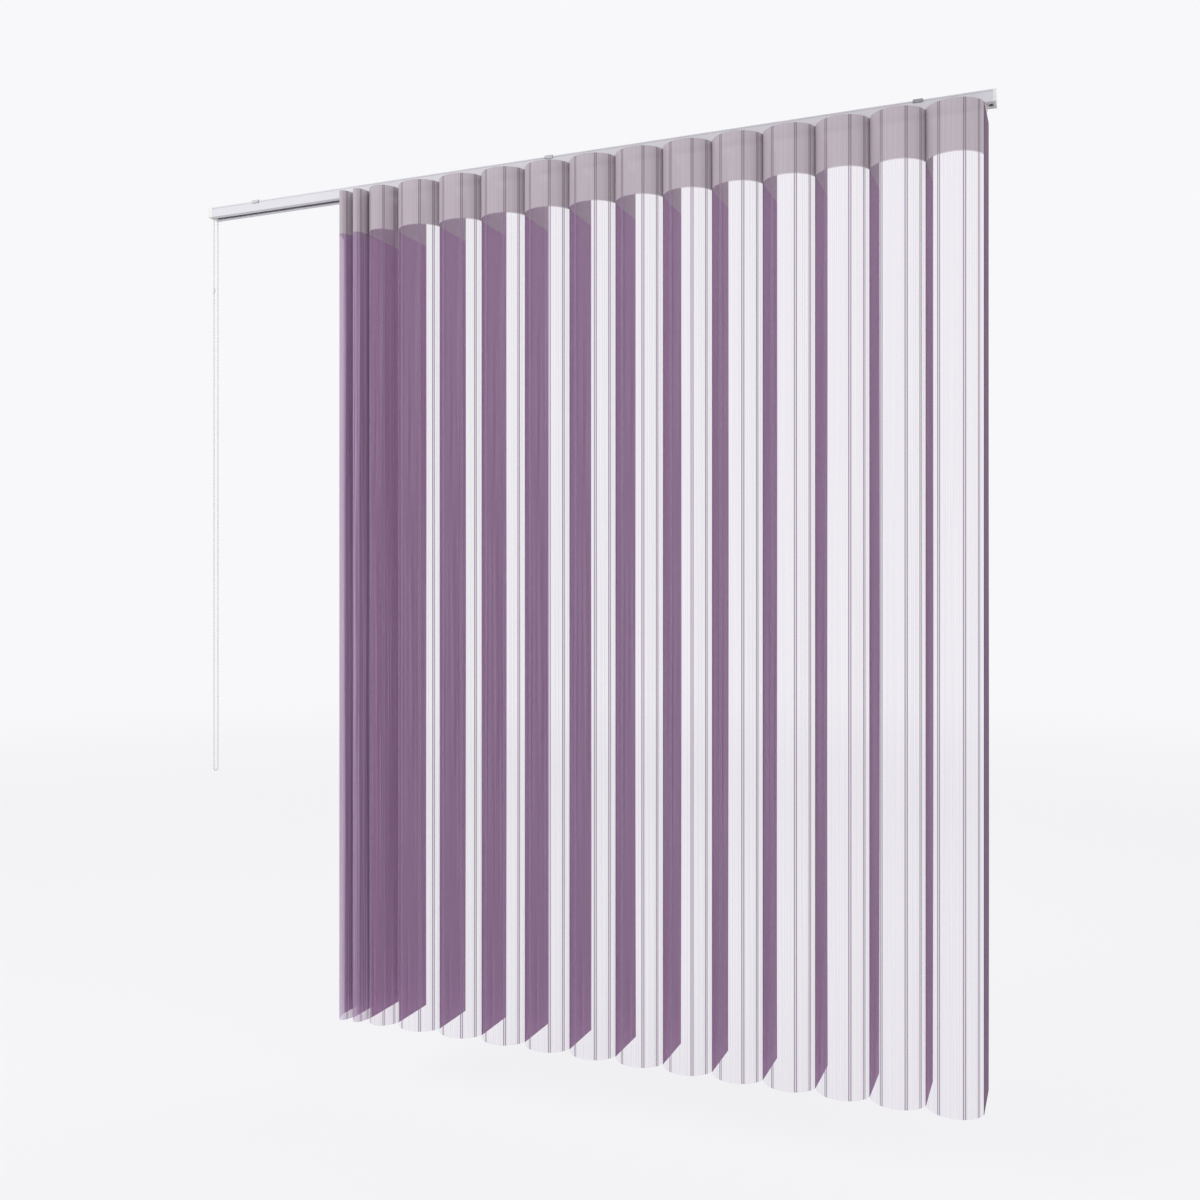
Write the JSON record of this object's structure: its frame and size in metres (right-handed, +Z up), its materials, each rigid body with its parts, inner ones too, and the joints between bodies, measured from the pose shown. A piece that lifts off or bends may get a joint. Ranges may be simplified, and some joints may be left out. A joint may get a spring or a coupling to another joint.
{
  "type": "vertical blind",
  "caption": "Top-fixed vertical blind with solid cloth leaves and bowed sheer bays that turn and draw along a channel rail, worked by a bead chain.",
  "frame": {"origin": "top face of the middle bracket, midway between its two screw holes", "axes": "+X along the rail towards the plain end, +Y towards the glass, +Z up"},
  "size_m": [1.976, 0.1687, 2.052],
  "materials": {
    "rail_paint": "satin white powder coat",
    "cap_plastic": "fine moulded white",
    "bracket_steel": "zinc plated",
    "rod_metal": "drawn",
    "carrier_plastic": "natural white moulding",
    "chain_plastic": "gloss white beads",
    "leaf_cloth": "close plain weave, muted purple",
    "sheer_cloth": "fine voile with paired pinstripes"
  },
  "bodies": {
    "rail": {"headrail": "rail_paint", "left_bracket": "bracket_steel", "middle_bracket": "bracket_steel", "right_bracket": "bracket_steel", "control_end_cap": "cap_plastic", "plain_end_cap": "cap_plastic", "bead_chain": "chain_plastic", "chain_connector": "chain_plastic", "carrier_16": "carrier_plastic"},
    "tilt_drive": {"tilt_rod": "rod_metal", "chain_wheel": "cap_plastic"},
    "carrier_01": {"carrier_01": "carrier_plastic"},
    "vane_01": {"leaf_01": "leaf_cloth"},
    "bay_01": {"sheer_01": "sheer_cloth"},
    "carrier_02": {"carrier_02": "carrier_plastic"},
    "vane_02": {"leaf_02": "leaf_cloth"},
    "bay_02": {"sheer_02": "sheer_cloth"},
    "carrier_03": {"carrier_03": "carrier_plastic"},
    "vane_03": {"leaf_03": "leaf_cloth"},
    "bay_03": {"sheer_03": "sheer_cloth"},
    "carrier_04": {"carrier_04": "carrier_plastic"},
    "vane_04": {"leaf_04": "leaf_cloth"},
    "bay_04": {"sheer_04": "sheer_cloth"},
    "carrier_05": {"carrier_05": "carrier_plastic"},
    "vane_05": {"leaf_05": "leaf_cloth"},
    "bay_05": {"sheer_05": "sheer_cloth"},
    "carrier_06": {"carrier_06": "carrier_plastic"},
    "vane_06": {"leaf_06": "leaf_cloth"},
    "bay_06": {"sheer_06": "sheer_cloth"},
    "carrier_07": {"carrier_07": "carrier_plastic"},
    "vane_07": {"leaf_07": "leaf_cloth"},
    "bay_07": {"sheer_07": "sheer_cloth"},
    "carrier_08": {"carrier_08": "carrier_plastic"},
    "vane_08": {"leaf_08": "leaf_cloth"},
    "bay_08": {"sheer_08": "sheer_cloth"},
    "carrier_09": {"carrier_09": "carrier_plastic"},
    "vane_09": {"leaf_09": "leaf_cloth"},
    "bay_09": {"sheer_09": "sheer_cloth"},
    "carrier_10": {"carrier_10": "carrier_plastic"},
    "vane_10": {"leaf_10": "leaf_cloth"},
    "bay_10": {"sheer_10": "sheer_cloth"},
    "carrier_11": {"carrier_11": "carrier_plastic"},
    "vane_11": {"leaf_11": "leaf_cloth"},
    "bay_11": {"sheer_11": "sheer_cloth"},
    "carrier_12": {"carrier_12": "carrier_plastic"},
    "vane_12": {"leaf_12": "leaf_cloth"},
    "bay_12": {"sheer_12": "sheer_cloth"},
    "carrier_13": {"carrier_13": "carrier_plastic"},
    "vane_13": {"leaf_13": "leaf_cloth"},
    "bay_13": {"sheer_13": "sheer_cloth"},
    "carrier_14": {"carrier_14": "carrier_plastic"},
    "vane_14": {"leaf_14": "leaf_cloth"},
    "bay_14": {"sheer_14": "sheer_cloth"},
    "carrier_15": {"carrier_15": "carrier_plastic"},
    "vane_15": {"leaf_15": "leaf_cloth"},
    "bay_15": {"sheer_15": "sheer_cloth"},
    "vane_16": {"leaf_16": "leaf_cloth"}
  },
  "joints": [
    {"name": "slide_01", "type": "slide", "parent": "rail", "child": "carrier_01", "axis": [1, 0, 0], "range_m": [0, 1.2308], "deforming": ["sheer_01", "sheer_02", "sheer_03", "sheer_04", "sheer_05", "sheer_06", "sheer_07", "sheer_08", "sheer_09", "sheer_10", "sheer_11", "sheer_12", "sheer_13", "sheer_14", "sheer_15"]},
    {"name": "slide_02", "type": "slide", "parent": "rail", "child": "carrier_02", "axis": [1, 0, 0], "range_m": [0, 1.21122]},
    {"name": "slide_03", "type": "slide", "parent": "rail", "child": "carrier_03", "axis": [1, 0, 0], "range_m": [0, 1.1889]},
    {"name": "slide_04", "type": "slide", "parent": "rail", "child": "carrier_04", "axis": [1, 0, 0], "range_m": [0, 1.1285]},
    {"name": "slide_05", "type": "slide", "parent": "rail", "child": "carrier_05", "axis": [1, 0, 0], "range_m": [0, 1.0345]},
    {"name": "slide_06", "type": "slide", "parent": "rail", "child": "carrier_06", "axis": [1, 0, 0], "range_m": [0, 0.9405]},
    {"name": "slide_07", "type": "slide", "parent": "rail", "child": "carrier_07", "axis": [1, 0, 0], "range_m": [0, 0.8465]},
    {"name": "slide_08", "type": "slide", "parent": "rail", "child": "carrier_08", "axis": [1, 0, 0], "range_m": [0, 0.7525]},
    {"name": "slide_09", "type": "slide", "parent": "rail", "child": "carrier_09", "axis": [1, 0, 0], "range_m": [0, 0.6585]},
    {"name": "slide_10", "type": "slide", "parent": "rail", "child": "carrier_10", "axis": [1, 0, 0], "range_m": [0, 0.5645]},
    {"name": "slide_11", "type": "slide", "parent": "rail", "child": "carrier_11", "axis": [1, 0, 0], "range_m": [0, 0.4705]},
    {"name": "slide_12", "type": "slide", "parent": "rail", "child": "carrier_12", "axis": [1, 0, 0], "range_m": [0, 0.3765]},
    {"name": "slide_13", "type": "slide", "parent": "rail", "child": "carrier_13", "axis": [1, 0, 0], "range_m": [0, 0.2825]},
    {"name": "slide_14", "type": "slide", "parent": "rail", "child": "carrier_14", "axis": [1, 0, 0], "range_m": [0, 0.1885]},
    {"name": "slide_15", "type": "slide", "parent": "rail", "child": "carrier_15", "axis": [1, 0, 0], "range_m": [0, 0.0945]},
    {"name": "tilt_01", "type": "hinge", "parent": "carrier_01", "child": "vane_01", "pos_m": [-0.5328, 0, -0.033], "axis": [0, 0, 1], "range_deg": [-80, 0]},
    {"name": "tilt_02", "type": "hinge", "parent": "carrier_02", "child": "vane_02", "pos_m": [-0.49472, 0, -0.033], "axis": [0, 0, 1], "range_deg": [-80, 0]},
    {"name": "tilt_03", "type": "hinge", "parent": "carrier_03", "child": "vane_03", "pos_m": [-0.4544, 0, -0.033], "axis": [0, 0, 1], "range_deg": [-80, 0]},
    {"name": "tilt_04", "type": "hinge", "parent": "carrier_04", "child": "vane_04", "pos_m": [-0.376, 0, -0.033], "axis": [0, 0, 1], "range_deg": [-80, 0]},
    {"name": "tilt_05", "type": "hinge", "parent": "carrier_05", "child": "vane_05", "pos_m": [-0.264, 0, -0.033], "axis": [0, 0, 1], "range_deg": [-80, 0]},
    {"name": "tilt_06", "type": "hinge", "parent": "carrier_06", "child": "vane_06", "pos_m": [-0.152, 0, -0.033], "axis": [0, 0, 1], "range_deg": [-80, 0]},
    {"name": "tilt_07", "type": "hinge", "parent": "carrier_07", "child": "vane_07", "pos_m": [-0.04, 0, -0.033], "axis": [0, 0, 1], "range_deg": [-80, 0]},
    {"name": "tilt_08", "type": "hinge", "parent": "carrier_08", "child": "vane_08", "pos_m": [0.072, 0, -0.033], "axis": [0, 0, 1], "range_deg": [-80, 0]},
    {"name": "tilt_09", "type": "hinge", "parent": "carrier_09", "child": "vane_09", "pos_m": [0.184, 0, -0.033], "axis": [0, 0, 1], "range_deg": [-80, 0]},
    {"name": "tilt_10", "type": "hinge", "parent": "carrier_10", "child": "vane_10", "pos_m": [0.296, 0, -0.033], "axis": [0, 0, 1], "range_deg": [-80, 0]},
    {"name": "tilt_11", "type": "hinge", "parent": "carrier_11", "child": "vane_11", "pos_m": [0.408, 0, -0.033], "axis": [0, 0, 1], "range_deg": [-80, 0]},
    {"name": "tilt_12", "type": "hinge", "parent": "carrier_12", "child": "vane_12", "pos_m": [0.52, 0, -0.033], "axis": [0, 0, 1], "range_deg": [-80, 0]},
    {"name": "tilt_13", "type": "hinge", "parent": "carrier_13", "child": "vane_13", "pos_m": [0.632, 0, -0.033], "axis": [0, 0, 1], "range_deg": [-80, 0]},
    {"name": "tilt_14", "type": "hinge", "parent": "carrier_14", "child": "vane_14", "pos_m": [0.744, 0, -0.033], "axis": [0, 0, 1], "range_deg": [-80, 0]},
    {"name": "tilt_15", "type": "hinge", "parent": "carrier_15", "child": "vane_15", "pos_m": [0.856, 0, -0.033], "axis": [0, 0, 1], "range_deg": [-80, 0]},
    {"name": "tilt_16", "type": "hinge", "parent": "rail", "child": "vane_16", "pos_m": [0.968, 0, -0.033], "axis": [0, 0, 1], "range_deg": [-80, 0]},
    {"name": "hem_01", "type": "hinge", "parent": "vane_01", "child": "bay_01", "pos_m": [-0.5328, -0.0635, -1], "axis": [0, 0, 1], "range_deg": [0, 80]},
    {"name": "hem_02", "type": "hinge", "parent": "vane_02", "child": "bay_02", "pos_m": [-0.49472, -0.0635, -1], "axis": [0, 0, 1], "range_deg": [0, 80]},
    {"name": "hem_03", "type": "hinge", "parent": "vane_03", "child": "bay_03", "pos_m": [-0.4544, -0.0635, -1], "axis": [0, 0, 1], "range_deg": [0, 80]},
    {"name": "hem_04", "type": "hinge", "parent": "vane_04", "child": "bay_04", "pos_m": [-0.376, -0.0635, -1], "axis": [0, 0, 1], "range_deg": [0, 80]},
    {"name": "hem_05", "type": "hinge", "parent": "vane_05", "child": "bay_05", "pos_m": [-0.264, -0.0635, -1], "axis": [0, 0, 1], "range_deg": [0, 80]},
    {"name": "hem_06", "type": "hinge", "parent": "vane_06", "child": "bay_06", "pos_m": [-0.152, -0.0635, -1], "axis": [0, 0, 1], "range_deg": [0, 80]},
    {"name": "hem_07", "type": "hinge", "parent": "vane_07", "child": "bay_07", "pos_m": [-0.04, -0.0635, -1], "axis": [0, 0, 1], "range_deg": [0, 80]},
    {"name": "hem_08", "type": "hinge", "parent": "vane_08", "child": "bay_08", "pos_m": [0.072, -0.0635, -1], "axis": [0, 0, 1], "range_deg": [0, 80]},
    {"name": "hem_09", "type": "hinge", "parent": "vane_09", "child": "bay_09", "pos_m": [0.184, -0.0635, -1], "axis": [0, 0, 1], "range_deg": [0, 80]},
    {"name": "hem_10", "type": "hinge", "parent": "vane_10", "child": "bay_10", "pos_m": [0.296, -0.0635, -1], "axis": [0, 0, 1], "range_deg": [0, 80]},
    {"name": "hem_11", "type": "hinge", "parent": "vane_11", "child": "bay_11", "pos_m": [0.408, -0.0635, -1], "axis": [0, 0, 1], "range_deg": [0, 80]},
    {"name": "hem_12", "type": "hinge", "parent": "vane_12", "child": "bay_12", "pos_m": [0.52, -0.0635, -1], "axis": [0, 0, 1], "range_deg": [0, 80]},
    {"name": "hem_13", "type": "hinge", "parent": "vane_13", "child": "bay_13", "pos_m": [0.632, -0.0635, -1], "axis": [0, 0, 1], "range_deg": [0, 80]},
    {"name": "hem_14", "type": "hinge", "parent": "vane_14", "child": "bay_14", "pos_m": [0.744, -0.0635, -1], "axis": [0, 0, 1], "range_deg": [0, 80]},
    {"name": "hem_15", "type": "hinge", "parent": "vane_15", "child": "bay_15", "pos_m": [0.856, -0.0635, -1], "axis": [0, 0, 1], "range_deg": [0, 80]},
    {"name": "rod_turn", "type": "hinge", "parent": "rail", "child": "tilt_drive", "pos_m": [0, 0, -0.015], "axis": [1, 0, 0], "range_deg": [0, 320]}
  ],
  "couplings": [
    {"joint": "slide_02", "follows": "slide_01", "ratio": 0.98369},
    {"joint": "slide_03", "follows": "slide_01", "ratio": 0.96555},
    {"joint": "slide_04", "follows": "slide_01", "ratio": 0.91648},
    {"joint": "slide_05", "follows": "slide_01", "ratio": 0.8401},
    {"joint": "slide_06", "follows": "slide_01", "ratio": 0.76373},
    {"joint": "slide_07", "follows": "slide_01", "ratio": 0.68736},
    {"joint": "slide_08", "follows": "slide_01", "ratio": 0.61098},
    {"joint": "slide_09", "follows": "slide_01", "ratio": 0.53461},
    {"joint": "slide_10", "follows": "slide_01", "ratio": 0.45824},
    {"joint": "slide_11", "follows": "slide_01", "ratio": 0.38187},
    {"joint": "slide_12", "follows": "slide_01", "ratio": 0.30549},
    {"joint": "slide_13", "follows": "slide_01", "ratio": 0.22912},
    {"joint": "slide_14", "follows": "slide_01", "ratio": 0.15275},
    {"joint": "slide_15", "follows": "slide_01", "ratio": 0.076373},
    {"joint": "tilt_02", "follows": "tilt_01", "ratio": 1},
    {"joint": "tilt_03", "follows": "tilt_01", "ratio": 1},
    {"joint": "tilt_04", "follows": "tilt_01", "ratio": 1},
    {"joint": "tilt_05", "follows": "tilt_01", "ratio": 1},
    {"joint": "tilt_06", "follows": "tilt_01", "ratio": 1},
    {"joint": "tilt_07", "follows": "tilt_01", "ratio": 1},
    {"joint": "tilt_08", "follows": "tilt_01", "ratio": 1},
    {"joint": "tilt_09", "follows": "tilt_01", "ratio": 1},
    {"joint": "tilt_10", "follows": "tilt_01", "ratio": 1},
    {"joint": "tilt_11", "follows": "tilt_01", "ratio": 1},
    {"joint": "tilt_12", "follows": "tilt_01", "ratio": 1},
    {"joint": "tilt_13", "follows": "tilt_01", "ratio": 1},
    {"joint": "tilt_14", "follows": "tilt_01", "ratio": 1},
    {"joint": "tilt_15", "follows": "tilt_01", "ratio": 1},
    {"joint": "tilt_16", "follows": "tilt_01", "ratio": 1},
    {"joint": "hem_01", "follows": "tilt_01", "ratio": -1},
    {"joint": "hem_02", "follows": "tilt_01", "ratio": -1},
    {"joint": "hem_03", "follows": "tilt_01", "ratio": -1},
    {"joint": "hem_04", "follows": "tilt_01", "ratio": -1},
    {"joint": "hem_05", "follows": "tilt_01", "ratio": -1},
    {"joint": "hem_06", "follows": "tilt_01", "ratio": -1},
    {"joint": "hem_07", "follows": "tilt_01", "ratio": -1},
    {"joint": "hem_08", "follows": "tilt_01", "ratio": -1},
    {"joint": "hem_09", "follows": "tilt_01", "ratio": -1},
    {"joint": "hem_10", "follows": "tilt_01", "ratio": -1},
    {"joint": "hem_11", "follows": "tilt_01", "ratio": -1},
    {"joint": "hem_12", "follows": "tilt_01", "ratio": -1},
    {"joint": "hem_13", "follows": "tilt_01", "ratio": -1},
    {"joint": "hem_14", "follows": "tilt_01", "ratio": -1},
    {"joint": "hem_15", "follows": "tilt_01", "ratio": -1},
    {"joint": "rod_turn", "follows": "tilt_01", "ratio": -4}
  ]
}
